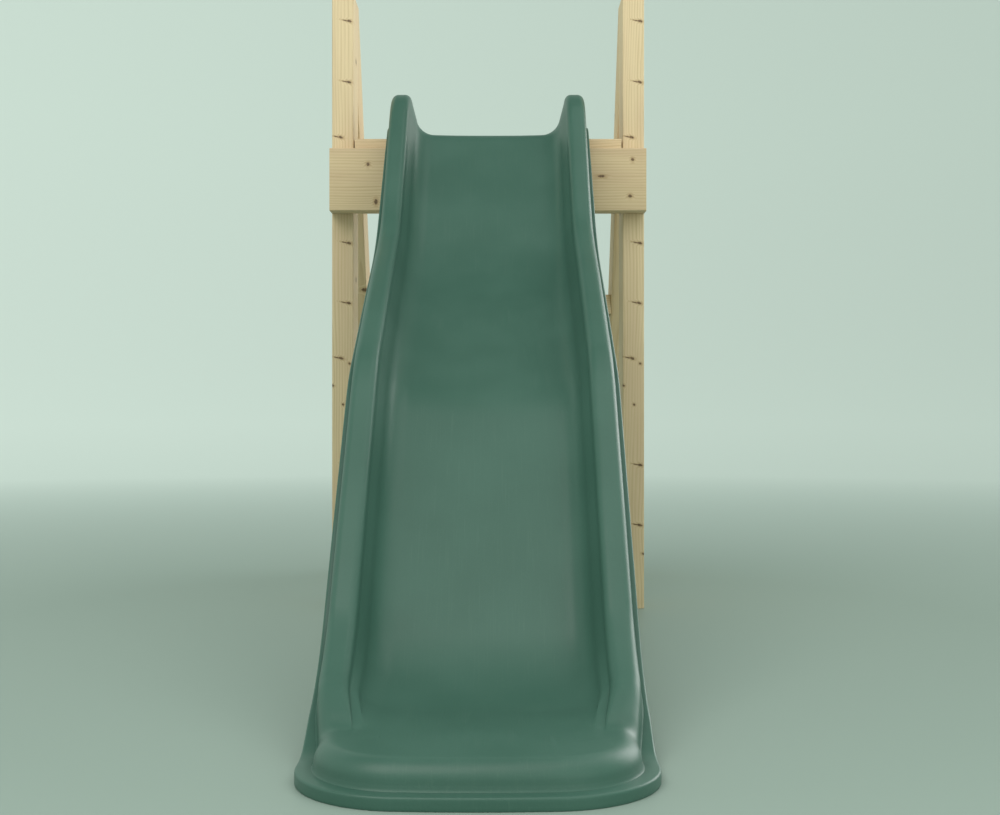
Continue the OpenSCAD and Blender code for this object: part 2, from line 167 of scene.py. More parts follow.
def pine(name, pith, knots, tone=(1.0, 1.0, 1.0), shift=0.0, slant=0.0):
    """Pale planed softwood. pith is where the tree's heart lies from the board's start, across
    and through; knots are [along, across, through, long, wide, deep], tone is a stain and slant
    leans the knots over."""
    made = bpy.data.materials.new(name)
    made.use_nodes = True
    tree = made.node_tree
    tree.nodes.clear()
    links = tree.links

    def node(kind, **values):
        new = tree.nodes.new(kind)
        for key, value in values.items():
            setattr(new, key, value)
        return new

    def math(operation, a, b=None, c=None):
        new = node("ShaderNodeMath", operation=operation)
        for socket, value in zip(new.inputs, (a, b, c)):
            if value is None:
                continue
            if isinstance(value, (int, float)):
                socket.default_value = value
            else:
                links.new(value, socket)
        return new.outputs[0]

    def vector(operation, a, b):
        new = node("ShaderNodeVectorMath", operation=operation)
        for socket, value in zip(new.inputs, (a, b)):
            if isinstance(value, (tuple, list)):
                socket.default_value = value
            else:
                links.new(value, socket)
        return new

    def noise(source, scale, detail=3.0, rough=0.5):
        new = node("ShaderNodeTexNoise")
        new.inputs["Scale"].default_value = scale
        new.inputs["Detail"].default_value = detail
        new.inputs["Roughness"].default_value = rough
        links.new(source, new.inputs["Vector"])
        return new.outputs[0]

    def fade(value, low, high, out_low, out_high):
        new = node("ShaderNodeMapRange", interpolation_type="SMOOTHSTEP")
        links.new(value, new.inputs[0])
        for k, number in enumerate((low, high, out_low, out_high)):
            new.inputs[k + 1].default_value = number
        return new.outputs[0]

    def mix(factor, a, b, blend="MIX"):
        new = node("ShaderNodeMix", data_type="RGBA", blend_type=blend)
        for socket, value in ((new.inputs[0], factor), (new.inputs[6], a), (new.inputs[7], b)):
            if isinstance(value, float):
                socket.default_value = value
            elif isinstance(value, tuple):
                socket.default_value = (*value, 1.0)
            else:
                links.new(value, socket)
        return new.outputs[2]

    place = node("ShaderNodeAttribute", attribute_name="grain").outputs["Vector"]
    # slow wander of the fibres, longer along the board than across it
    slow = vector("MULTIPLY", place, (2.2, 14.0, 14.0)).outputs[0]
    slow = vector("ADD", slow, (shift, 0.37 * shift, 1.7)).outputs[0]
    wander = noise(slow, 1.0, 2.0, 0.45)
    # distance to the nearest knot, where 1 is its rim
    ragged = vector("ADD", vector("MULTIPLY", place, (260.0, 260.0, 260.0)).outputs[0],
                    (shift, 0.0, 0.0)).outputs[0]
    ragged = noise(ragged, 1.0, 2.0, 0.6)
    near = None
    leaning = vector("DOT_PRODUCT", place, (0.0, slant, 0.0)).outputs["Value"]
    lean_step = node("ShaderNodeCombineXYZ")
    links.new(leaning, lean_step.inputs[0])
    leant = vector("ADD", place, lean_step.outputs[0]).outputs[0]
    for along, across, through, long, wide, deep in knots:
        step = vector("SUBTRACT", leant, (along + slant * across, across, through)).outputs[0]
        step = vector("MULTIPLY", step, (1 / long, 1 / wide, 1 / deep)).outputs[0]
        size = vector("LENGTH", step, (0.0, 0.0, 0.0)).outputs["Value"]
        near = size if near is None else math("MINIMUM", near, size)
    if near is None:
        near = math("ADD", ragged, 9.0)
    near = math("ADD", near, math("MULTIPLY_ADD", ragged, 0.9, -0.45))
    # growth rings: the distance from the pith, pushed aside round each knot
    apart = node("ShaderNodeSeparateXYZ")
    links.new(place, apart.inputs[0])
    from_pith_v = math("SUBTRACT", apart.outputs[1], pith[0])
    from_pith_w = math("SUBTRACT", apart.outputs[2], pith[1])
    radius = math("SQRT", math("ADD", math("MULTIPLY", from_pith_v, from_pith_v),
                               math("MULTIPLY", from_pith_w, from_pith_w)))
    radius = math("ADD", radius, math("MULTIPLY_ADD", wander, 0.030, -0.015))
    push = fade(near, 0.6, 3.4, 0.0042, 0.0)
    radius = math("ADD", radius, push)
    ring = math("MULTIPLY", radius, 1 / 0.0052)
    year = math("FRACT", ring)
    late = math("MULTIPLY", fade(year, 0.30, 0.86, 0.0, 1.0), fade(year, 0.90, 1.0, 1.0, 0.0))
    # fine fibres and broad patches
    fibre_place = vector("MULTIPLY", place, (9.0, 900.0, 900.0)).outputs[0]
    fibre = noise(fibre_place, 1.0, 3.0, 0.6)
    streak_place = vector("MULTIPLY", place, (3.0, 120.0, 120.0)).outputs[0]
    streak_place = vector("ADD", streak_place, (shift, 2.0, shift)).outputs[0]
    streak = noise(streak_place, 1.0, 3.0, 0.55)
    patch_place = vector("MULTIPLY", place, (3.5, 18.0, 18.0)).outputs[0]
    patch_place = vector("ADD", patch_place, (3.0, shift, shift)).outputs[0]
    patch = noise(patch_place, 1.0, 2.0, 0.5)
    pale = tuple(a * b for a, b in zip((0.735, 0.590, 0.385), tone))
    warm = tuple(a * b for a, b in zip((0.575, 0.430, 0.255), tone))
    rosy = tuple(a * b for a, b in zip((0.660, 0.500, 0.335), tone))
    colour = mix(fade(patch, 0.40, 0.66, 0.0, 0.75), pale, rosy)
    colour = mix(math("MULTIPLY", late, fade(streak, 0.30, 0.72, 0.30, 0.85)), colour, warm)
    colour = mix(fade(streak, 0.54, 0.78, 0.0, 0.32), colour, warm)
    colour = mix(fade(fibre, 0.35, 0.72, 0.0, 0.22), colour,
                 tuple(a * b for a, b in zip((0.46, 0.34, 0.19), tone)))
    halo = fade(near, 1.0, 2.5, 0.42, 0.0)
    colour = mix(halo, colour, (0.400, 0.235, 0.105))
    core = fade(near, 0.72, 1.12, 0.92, 0.0)
    heart = mix(fade(ragged, 0.35, 0.65, 0.0, 1.0), (0.085, 0.048, 0.024), (0.185, 0.110, 0.055))
    colour = mix(core, colour, heart)
    # the surface: fibres and late wood stand a little proud, knots are harder and smoother
    height = math("ADD", math("MULTIPLY", late, 0.55), math("MULTIPLY", fibre, 0.60))
    height = math("ADD", height, math("MULTIPLY", core, 0.5))
    bump = node("ShaderNodeBump")
    bump.inputs["Strength"].default_value = 0.35
    bump.inputs["Distance"].default_value = 0.0004
    links.new(height, bump.inputs["Height"])
    shader = node("ShaderNodeBsdfPrincipled")
    links.new(colour, shader.inputs["Base Color"])
    rough = math("ADD", fade(fibre, 0.3, 0.7, 0.56, 0.68), math("MULTIPLY", core, -0.12))
    links.new(rough, shader.inputs["Roughness"])
    shader.inputs["Specular IOR Level"].default_value = 0.35
    links.new(bump.outputs[0], shader.inputs["Normal"])
    out = node("ShaderNodeOutputMaterial")
    links.new(shader.outputs[0], out.inputs[0])
    return made


def finish_board(piece, node_name, material):
    """The board takes the place of its CAD node and rides with the frame."""
    piece.data.materials.clear()
    piece.data.materials.append(material)
    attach(piece, "root")
    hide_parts(node_name)


def box_outline(lo, hi):
    """A board that lies square in the frame: its outline in X and Z, made from its box."""
    return [[lo.x, lo.z], [hi.x, lo.z], [hi.x, hi.z], [lo.x, hi.z]]


# [height, across] of the small spike knots on each post's front, from its foot, and of the
# faint pin knots between them
post_knots = [[1.204, 0.034], [1.079, 0.033], [0.966, 0.016], [0.749, 0.033], [0.626, 0.032],
              [0.513, 0.017], [0.294, 0.034], [0.171, 0.033], [0.050, 0.016]]
pin_knots = [[0.457, 0.002], [0.502, 0.036], [0.418, 0.023], [0.112, 0.042], [0.868, 0.040]]
for side, label in ((-1, "left_post"), (1, "right_post")):
    lo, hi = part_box(label)
    piece = sawn_board(label + "_timber", box_outline(lo, hi), hi.y - lo.y,
                       lambda a, b, c: Vector((a, front_y + c, b)), (0, 0, 1))
    put_grain(piece, (lo.x, lo.y, lo.z), (0, 0, 1), (1, 0, 0))
    knots = []
    for z, x in post_knots:
        knots.append([z, x + 0.002, 0.0, 0.0027, 0.0050, 0.020])
        knots.append([z + 0.0012, x - 0.0065, 0.0, 0.0012, 0.0072, 0.012])
    knots += [[z, x, 0.0, 0.0024, 0.0026, 0.010] for z, x in pin_knots]
    knots += [[z + 0.071 * side, 0.0 if side > 0 else board_t, 0.052, 0.005, 0.010, 0.008]
              for z, x in post_knots[::3]]
    finish_board(piece, label, pine("pine_" + label, (0.10 * side + 0.02, -0.055), knots,
                                    (1.04, 1.03, 1.0), 3.0 + side, slant=0.22))

# ---- Ladder legs ------------------------------------------------------------------------
# Two boards of the same timber that lean back from the posts' tops. Each is bevelled on to
# its post's back and cut level at the foot and at the top.
leg_lean = radians(25.5)


def spots(node_name):
    """The box of each separate solid in a CAD node, as (lowest corner, highest corner)."""
    mesh = frame["nodes"][node_name].data
    same = {}
    owner = []
    for point in mesh.vertices:
        key = tuple(round(c * 20000) for c in point.co)
        owner.append(same.setdefault(key, len(same)))
    group = list(range(len(same)))

    def root(k):
        while group[k] != k:
            group[k] = group[group[k]]
            k = group[k]
        return k

    for edge in mesh.edges:
        a, b = (root(owner[k]) for k in edge.vertices)
        group[a] = b
    boxes = {}
    for point, k in zip(mesh.vertices, owner):
        lo, hi = boxes.setdefault(root(k), (point.co.copy(), point.co.copy()))
        for axis in range(3):
            lo[axis] = min(lo[axis], point.co[axis])
            hi[axis] = max(hi[axis], point.co[axis])
    return sorted(boxes.values(), key=lambda b: tuple(round(c, 4) for c in (b[0] + b[1])))


def countersink(lo, hi, axis, sign, name):
    """A recess for a flush screw that fills the box: its head is at the sign end of the axis."""
    across = (axis + 1) % 3
    head_r = (hi[across] - lo[across]) / 2
    face = (lo + hi) / 2
    face[axis] = hi[axis] if sign > 0 else lo[axis]
    outward = [0, 0, 0]
    outward[axis] = sign
    return recess_cutter(name, face, outward,
                         [[head_r + 0.0015, -0.0010], [head_r + 0.0002, 0.0001],
                          [head_r * 0.45, head_r * 0.62], [head_r * 0.40, head_r * 2.2]])


for side, label in ((-1, "left_leg"), (1, "right_leg")):
    lo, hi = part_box(label)
    depth = board_w / cos(leg_lean)
    slope = tan(leg_lean)
    outline = [[hi.y - depth, 0.0],
               [hi.y, 0.0],
               [hi.y - hi.z * slope, hi.z],
               [lo.y, hi.z],
               [lo.y, (hi.y - depth - lo.y) / slope]]
    holes = []
    for k, (a, b) in enumerate(spots("upper_tread_screws") + spots("lower_tread_screws")):
        if (a.x + b.x) * side > 0:
            holes.append(countersink(a, b, 0, side, "tread_recess_%d" % k))
    for k, (a, b) in enumerate(spots("apex_washers")):
        if (a.x + b.x) * side > 0:
            seat = Vector(((a.x + b.x) / 2, a.y, (a.z + b.z) / 2))
            holes.append(recess_cutter("spot_%d" % k, seat, (0, 1, 0),
                                       [[0.0102, -0.030], [0.0102, 0.0]]))
    piece = sawn_board(label + "_timber", outline, hi.x - lo.x,
                       lambda a, b, c: Vector((lo.x + c, a, b)),
                       (0, -sin(leg_lean), cos(leg_lean)), holes)
    along = (0, -sin(leg_lean), cos(leg_lean))
    put_grain(piece, (lo.x, hi.y - depth, 0.0), along, (1, 0, 0))
    knots = [[0.16 + 0.118 * k + 0.021 * ((k * 7) % 5), 0.008 + 0.011 * ((k * 3) % 4),
              0.0 if k % 2 else 0.092, 0.0045, 0.009, 0.016] for k in range(10)]
    knots += [[0.22 + 0.241 * k, board_t if side < 0 else 0.0, 0.020 + 0.017 * k,
               0.008, 0.014, 0.008] for k in range(4)]
    finish_board(piece, label, pine("pine_" + label, (-0.045 * side, 0.120), knots,
                                    (0.98, 0.97, 0.93), 7.0 + side))

# ---- Screws at the legs' tops -----------------------------------------------------------
# Zinc-plated coach screws with washers, sunk in spot-faced holes, that pull each leg on to
# its post's back.


def zinc():
    """Bright zinc plating, a little cloudy."""
    made = bpy.data.materials.new("zinc_plate")
    made.use_nodes = True
    tree = made.node_tree
    shader = tree.nodes["Principled BSDF"]
    shader.inputs["Metallic"].default_value = 1.0
    place = tree.nodes.new("ShaderNodeTexCoord")
    cloud = tree.nodes.new("ShaderNodeTexNoise")
    cloud.inputs["Scale"].default_value = 240.0
    cloud.inputs["Detail"].default_value = 4.0
    tint = tree.nodes.new("ShaderNodeValToRGB")
    tint.color_ramp.elements[0].position = 0.35
    tint.color_ramp.elements[0].color = (0.50, 0.52, 0.53, 1)
    tint.color_ramp.elements[1].position = 0.68
    tint.color_ramp.elements[1].color = (0.70, 0.70, 0.66, 1)
    gloss = tree.nodes.new("ShaderNodeMapRange")
    gloss.inputs[3].default_value = 0.24
    gloss.inputs[4].default_value = 0.46
    grain = tree.nodes.new("ShaderNodeTexNoise")
    grain.inputs["Scale"].default_value = 2600.0
    bump = tree.nodes.new("ShaderNodeBump")
    bump.inputs["Strength"].default_value = 0.2
    bump.inputs["Distance"].default_value = 0.0001
    tree.links.new(place.outputs["Object"], cloud.inputs["Vector"])
    tree.links.new(place.outputs["Object"], grain.inputs["Vector"])
    tree.links.new(cloud.outputs[0], tint.inputs[0])
    tree.links.new(tint.outputs[0], shader.inputs["Base Color"])
    tree.links.new(cloud.outputs[0], gloss.inputs[0])
    tree.links.new(gloss.outputs[0], shader.inputs["Roughness"])
    tree.links.new(grain.outputs[0], bump.inputs["Height"])
    tree.links.new(bump.outputs[0], shader.inputs["Normal"])
    return made


zinc_plate = zinc()
TURNS = 48


def round_r(radius):
    return lambda a: radius


def hex_r(flat):
    return lambda a: flat / cos((a + pi / 6) % (pi / 3) - pi / 6)


def lobe_r(radius):
    return lambda a: radius * (1 + 0.15 * cos(6 * a))


def turned(made, at, outward, rings, closed=True):
    """Adds a turned shape to a mesh: rings are [radius as a function of the angle, height
    along outward], from the top's middle round to the tip."""
    turn = Vector(outward).to_track_quat("Z", "Y")
    loops = []
    for radius, height in rings:
        loop = []
        for k in range(TURNS):
            a = 2 * pi * k / TURNS
            point = Vector((radius(a) * cos(a), radius(a) * sin(a), height))
            loop.append(made.verts.new(Vector(at) + turn @ point))
        loops.append(loop)
    if not closed:
        loops.append(loops[0])
    for first, second in zip(loops, loops[1:]):
        for k in range(TURNS):
            n = (k + 1) % TURNS
            made.faces.new((first[k], second[k], second[n], first[n]))
    if closed:
        made.faces.new(list(reversed(loops[0])))
        made.faces.new(loops[-1])


def set_of(name, node_name, places, shape):
    """One object for a set of like fasteners: shape(mesh, at, outward) makes each of them."""
    made = bmesh.new()
    for at, outward in places:
        shape(made, at, outward)
    bmesh.ops.recalc_face_normals(made, faces=made.faces)
    mesh = bpy.data.meshes.new(name)
    made.to_mesh(mesh)
    made.free()
    for face in mesh.polygons:
        face.use_smooth = True
    mesh.set_sharp_from_angle(angle=radians(32))
    mesh.materials.append(zinc_plate)
    piece = bpy.data.objects.new(name, mesh)
    bpy.context.scene.collection.objects.link(piece)
    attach(piece, "root")
    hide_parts(node_name)
    return piece


def coach(length, across=0.0065, head=0.0053, rise=0.0016, radius=0.004):
    """A hexagon-headed wood screw whose head sits on a washer."""
    def shape(made, at, outward):
        top = rise + head
        turned(made, at, outward,
               [[round_r(across * 0.30), top],
                [round_r(across * 0.88), top],
                [hex_r(across), top - 0.0009],
                [hex_r(across), rise + 0.0003],
                [hex_r(across * 0.96), rise],
                [round_r(radius), rise],
                [round_r(radius), -length + 2 * radius],
                [round_r(0.0004), -length]])
    return shape


def washer(inner, outer, thick):
    """A flat washer with the punched rim's small round."""
    soft = 0.0003

    def shape(made, at, outward):
        turned(made, at, outward,
               [[round_r(inner + soft), thick],
                [round_r(outer - 2 * soft), thick],
                [round_r(outer), thick - soft],
                [round_r(outer), soft],
                [round_r(outer - soft), 0.0],
                [round_r(inner), 0.0],
                [round_r(inner), thick - soft]], closed=False)
    return shape


washer_places = []
for lo, hi in spots("apex_washers"):
    seat = Vector(((lo.x + hi.x) / 2, lo.y, (lo.z + hi.z) / 2))
    washer_places.append([seat, (0, 1, 0)])
lo, hi = spots("apex_washers")[0]
washer_r = (hi.x - lo.x) / 2
washer_t = hi.y - lo.y
set_of("leg_top_washers", "apex_washers", washer_places, washer(0.0041, washer_r, washer_t))
for side, label in ((-1, "left_apex_screws"), (1, "right_apex_screws")):
    lo, hi = spots(label)[0]
    places = [p for p in washer_places if p[0].x * side > 0]
    screw_l = hi.y - lo.y - washer_t - 0.0053
    set_of(label.replace("apex", "leg_top"), label, places, coach(screw_l))

# ---- Treads -----------------------------------------------------------------------------
# Two boards of the post timber between the legs, set level, each held by two countersunk
# screws through either leg.
tread_knots = {"upper_tread": [[0.09, 0.030, 0.0], [0.24, 0.071, 0.0], [0.41, 0.020, 0.0]],
               "lower_tread": [[0.15, 0.062, 0.0], [0.33, 0.018, 0.0], [0.47, 0.080, 0.0]]}
for label, knots in tread_knots.items():
    lo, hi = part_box(label)
    piece = sawn_board(label + "_timber", box_outline(lo, hi), hi.y - lo.y,
                       lambda a, b, c: Vector((a, lo.y + c, b)), (1, 0, 0))
    put_grain(piece, (lo.x, lo.y, hi.z), (1, 0, 0), (0, 1, 0))
    round_knots = [[a, b, c, 0.0085, 0.0065, 0.030] for a, b, c in knots]
    round_knots += [[a + 0.06, 0.0, -0.02, 0.007, 0.012, 0.0045] for a, b, c in knots]
    finish_board(piece, label, pine("pine_" + label, (0.040, 0.105), round_knots,
                                    (0.97, 0.96, 0.94), 12.0 + lo.z))


def countersunk(length, head_r, shank_r):
    """A flush wood screw with a six-lobed drive."""
    drive = head_r * 0.46
    deep = head_r * 0.42

    def shape(made, at, outward):
        turned(made, at, outward,
               [[round_r(drive * 0.25), -deep],
                [lobe_r(drive * 0.88), -deep * 0.92],
                [lobe_r(drive), -0.0003],
                [lobe_r(drive * 1.07), 0.0],
                [round_r(head_r - 0.0003), 0.0],
                [round_r(head_r), -0.0003],
                [round_r(shank_r), -(head_r - shank_r)],
                [round_r(shank_r), -length + 2 * shank_r],
                [round_r(0.0004), -length]])
    return shape


for label in ("upper_tread_screws", "lower_tread_screws"):
    places = []
    for lo, hi in spots(label):
        sign = 1 if lo.x + hi.x > 0 else -1
        face = (lo + hi) / 2
        face.x = hi.x if sign > 0 else lo.x
        places.append([face, (sign, 0, 0)])
    lo, hi = spots(label)[0]
    set_of(label.replace("screws", "fixings"), label, places,
           countersunk(hi.x - lo.x, (hi.z - lo.z) / 2, (hi.z - lo.z) / 4))

# ---- Deck bearers -----------------------------------------------------------------------
# Two square battens screwed to the inner faces of post and leg, which carry the deck.
for side, label in ((-1, "left_deck_bearer"), (1, "right_deck_bearer")):
    lo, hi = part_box(label)
    holes = []
    for k, (a, b) in enumerate(spots(label.replace("deck_bearer", "bearer_screws"))):
        holes.append(countersink(a, b, 0, -side, "bearer_recess_%d" % k))
    piece = sawn_board(label + "_timber", [[lo.y, lo.z], [hi.y, lo.z], [hi.y, hi.z], [lo.y, hi.z]],
                       hi.x - lo.x, lambda a, b, c: Vector((lo.x + c, a, b)), (0, 1, 0), holes)
    put_grain(piece, (lo.x, lo.y, lo.z), (0, 1, 0), (1, 0, 0))
    knots = [[0.07, 0.0 if side > 0 else 0.044, -0.018, 0.008, 0.010, 0.006],
             [0.19, 0.020, -0.044, 0.007, 0.006, 0.012]]
    finish_board(piece, label, pine("pine_" + label, (0.06, 0.05), knots,
                                    (0.96, 0.95, 0.92), 20.0 + side))
    places = []
    screws = label.replace("deck_bearer", "bearer_screws")
    for a, b in spots(screws):
        face = (a + b) / 2
        face.x = a.x if side > 0 else b.x
        places.append([face, (-side, 0, 0)])
    a, b = spots(screws)[0]
    set_of(label.replace("deck_bearer", "bearer_fixings"), screws, places,
           countersunk(b.x - a.x, (b.z - a.z) / 2, (b.z - a.z) / 4))

# ---- Deck -------------------------------------------------------------------------------
# Two wide boards laid across the bearers with a small gap, screwed down at each end. The
# front one stands level with the posts' fronts.
deck_knots = {"front_deck_board": [[0.170, 0.060, 0.0], [0.470, 0.045, 0.0]],
              "rear_deck_board": [[0.110, 0.070, 0.0], [0.290, 0.030, 0.0], [0.430, 0.095, 0.0]]}
deck_spots = spots("deck_screws")
for label, knots in deck_knots.items():
    lo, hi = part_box(label)
    holes = []
    for k, (a, b) in enumerate(deck_spots):
        if lo.y < (a.y + b.y) / 2 < hi.y:
            holes.append(countersink(a, b, 2, 1, "deck_recess_%d" % k))
    piece = sawn_board(label + "_timber", box_outline(lo, hi), hi.y - lo.y,
                       lambda a, b, c: Vector((a, lo.y + c, b)), (1, 0, 0), holes)
    put_grain(piece, (lo.x, lo.y, hi.z), (1, 0, 0), (0, 1, 0))
    round_knots = [[a, b, c, 0.008, 0.007, 0.020] for a, b, c in knots]
    finish_board(piece, label, pine("pine_" + label, (0.075, 0.130), round_knots,
                                    (1.0, 0.98, 0.95), 30.0 + 10 * lo.y))
places = []
for lo, hi in deck_spots:
    face = (lo + hi) / 2
    face.z = hi.z
    places.append([face, (0, 0, 1)])
lo, hi = deck_spots[0]
set_of("deck_fixings", "deck_screws", places,
       countersunk(hi.z - lo.z, (hi.x - lo.x) / 2, (hi.x - lo.x) / 4))

# ---- Fascia board -----------------------------------------------------------------------
# A wider board across the fronts of both posts, below the chute's head. Long coach screws
# through the posts from behind hold it, so its face shows none.
lo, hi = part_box("fascia_board")
piece = sawn_board("fascia_timber", box_outline(lo, hi), hi.y - lo.y,
                   lambda a, b, c: Vector((a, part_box("fascia_board")[0].y + c, b)), (1, 0, 0))
put_grain(piece, (lo.x, lo.y, lo.z), (1, 0, 0), (0, 0, 1))
# [along, up, long, high] of the knots on its face
fascia_knots = [[0.078, 0.094, 0.0034, 0.0038], [0.094, 0.018, 0.0036, 0.0060],
                [0.612, 0.104, 0.0032, 0.0036], [0.549, 0.070, 0.0080, 0.0026],
                [0.607, 0.030, 0.0040, 0.0036], [0.310, 0.060, 0.0080, 0.0060]]
knots = [[a, b, 0.0, long, high, 0.030] for a, b, long, high in fascia_knots]
finish_board(piece, "fascia_board", pine("pine_fascia", (0.165, -0.035), knots,
                                         (0.93, 0.90, 0.86), 41.0))
places = []
for lo, hi in spots("fascia_washers"):
    places.append([Vector(((lo.x + hi.x) / 2, lo.y, (lo.z + hi.z) / 2)), (0, 1, 0)])
set_of("fascia_fixing_washers", "fascia_washers", places, washer(0.0041, washer_r, washer_t))
lo, hi = spots("fascia_screws")[0]
set_of("fascia_fixings", "fascia_screws", places, coach(hi.y - lo.y - washer_t - 0.0053))

# ---- Chute ------------------------------------------------------------------------------
# One green moulding with a single skin: head, bed, two hollow side rails, a lip that turns
# down all round and a rounded run-out with a flange on the ground. Sizes here are in mm.
MM = 0.001
skin_t = 5.0
chute_lo, chute_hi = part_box("chute")
half_w = (chute_hi.x - chute_lo.x) / 2 / MM
deck_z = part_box("front_deck_board")[1].z / MM
head_z = deck_z + skin_t
runout_h = 46.0
head_l = 60.0
upper_slope, middle_slope, lower_slope = radians(47), radians(28), radians(47.5)
upper_l, middle_l, runout_l = 296.0, 340.0, 245.0
crest_r, valley_r, hump_r, last_r = 60.0, 620.0, 240.0, 215.0
bends_drop = (crest_r * (1 - cos(upper_slope)) + upper_l * sin(upper_slope)
              + valley_r * (cos(middle_slope) - cos(upper_slope))
              + middle_l * sin(middle_slope)
              + hump_r * (cos(middle_slope) - cos(lower_slope))
              + last_r * (1 - cos(lower_slope)))
lower_l = (head_z - runout_h - bends_drop) / sin(lower_slope)
# each stretch of the bed is [length, slope at its start, slope at its end]
bed_line = [[head_l, 0.0, 0.0],
            [crest_r * upper_slope, 0.0, upper_slope],
            [upper_l, upper_slope, upper_slope],
            [valley_r * (upper_slope - middle_slope), upper_slope, middle_slope],
            [middle_l, middle_slope, middle_slope],
            [hump_r * (lower_slope - middle_slope), middle_slope, lower_slope],
            [lower_l, lower_slope, lower_slope],
            [last_r * lower_slope, lower_slope, 0.0],
            [runout_l, 0.0, 0.0]]


def along_stretch(start, stretch, length):
    """The point [run, height] after a length on a straight or a bend."""
    full, a, b = stretch
    now = a + (b - a) * length / full
    if a == b:
        return (start[0] + length * cos(a), start[1] - length * sin(a), now)
    r = full / (b - a)
    return (start[0] + r * (sin(now) - sin(a)), start[1] + r * (cos(now) - cos(a)), now)


starts = [(-head_l, head_z)]
lengths = [0.0]
for stretch in bed_line:
    end = along_stretch(starts[-1], stretch, stretch[0])
    starts.append(end[:2])
    lengths.append(lengths[-1] + stretch[0])


def bed_at(s):
    """[run, height, slope] of the bed's middle at length s from the head's edge."""
    k = 0
    while k < len(bed_line) - 1 and s >= lengths[k + 1]:
        k += 1
    return along_stretch(starts[k], bed_line[k], s - lengths[k])


lip_turn = 15.0
lip_rest = lip_turn - skin_t
lip_foot = lip_turn - runout_h
ear_h = 82.0
ear_l = 40.0
bend_mid = (lengths[7] + lengths[8]) / 2
# [length along the bed, height of the rail's top, height of the lip], both over the bed
rail_line = [[0.0, ear_h, lip_rest],
             [head_l / 2, ear_h, lip_rest],
             [head_l, ear_h, lip_rest + 2],
             [lengths[2], ear_h - 3, 22.0],
             [lengths[3], 66.0, 31.0],
             [lengths[4], 79.0, 42.0],
             [lengths[5], 72.0, 40.0],
             [lengths[6], 67.0, 41.0],
             [lengths[7], 68.0, 41.0],
             [bend_mid, 64.0, 32.0],
             [lengths[8], 43.0, 6.0],
             [lengths[8] + 50, 17.0, -19.0],
             [lengths[8] + 74, 2.0, lip_foot + 3],
             [lengths[8] + 98, 0.0, lip_foot],
             [lengths[9], 0.0, lip_foot]]


def rail_at(s, column):
    """A smooth curve through one column of rail_line."""
    def lean(k):
        if k in (0, len(rail_line) - 1):
            return 0.0
        low, high = rail_line[k - 1], rail_line[k + 1]
        return (high[column] - low[column]) / (high[0] - low[0])

    k = 0
    while k < len(rail_line) - 2 and s >= rail_line[k + 1][0]:
        k += 1
    low, high = rail_line[k], rail_line[k + 1]
    w = high[0] - low[0]
    u = min(1.0, (s - low[0]) / w)
    return (low[column] * (1 + 2 * u) * (1 - u) ** 2 + lean(k) * w * u * (1 - u) ** 2
            + high[column] * u * u * (3 - 2 * u) - lean(k + 1) * w * u * u * (1 - u))


def between(a, b, u):
    return a + (b - a) * u


def rail_top(s):
    """The rail's top over the bed, with the quarter-ellipse end of the ear at the head."""
    rise = sqrt(1 - (1 - s / ear_l) ** 2) if s < ear_l else 1.0
    return between(lip_rest, rail_at(s, 1), rise)


rim_d = 94.0
dish = 4.0


def dish_at(s):
    rise = curve_of(s, head_l, lengths[2] - 8)
    return dish * rise * (1 - curve_of(s, lengths[8], lengths[9] - rim_d))


def quarter(cx, cy, rx, ry, steps, first=0.0, last=90.0):
    """Points on an ellipse from its left (0 degrees) over its top (90) to its right (180)."""
    points = []
    for k in range(steps + 1):
        a = radians(between(first, last, k / steps))
        points.append((cx - rx * cos(a), cy + ry * sin(a)))
    return points


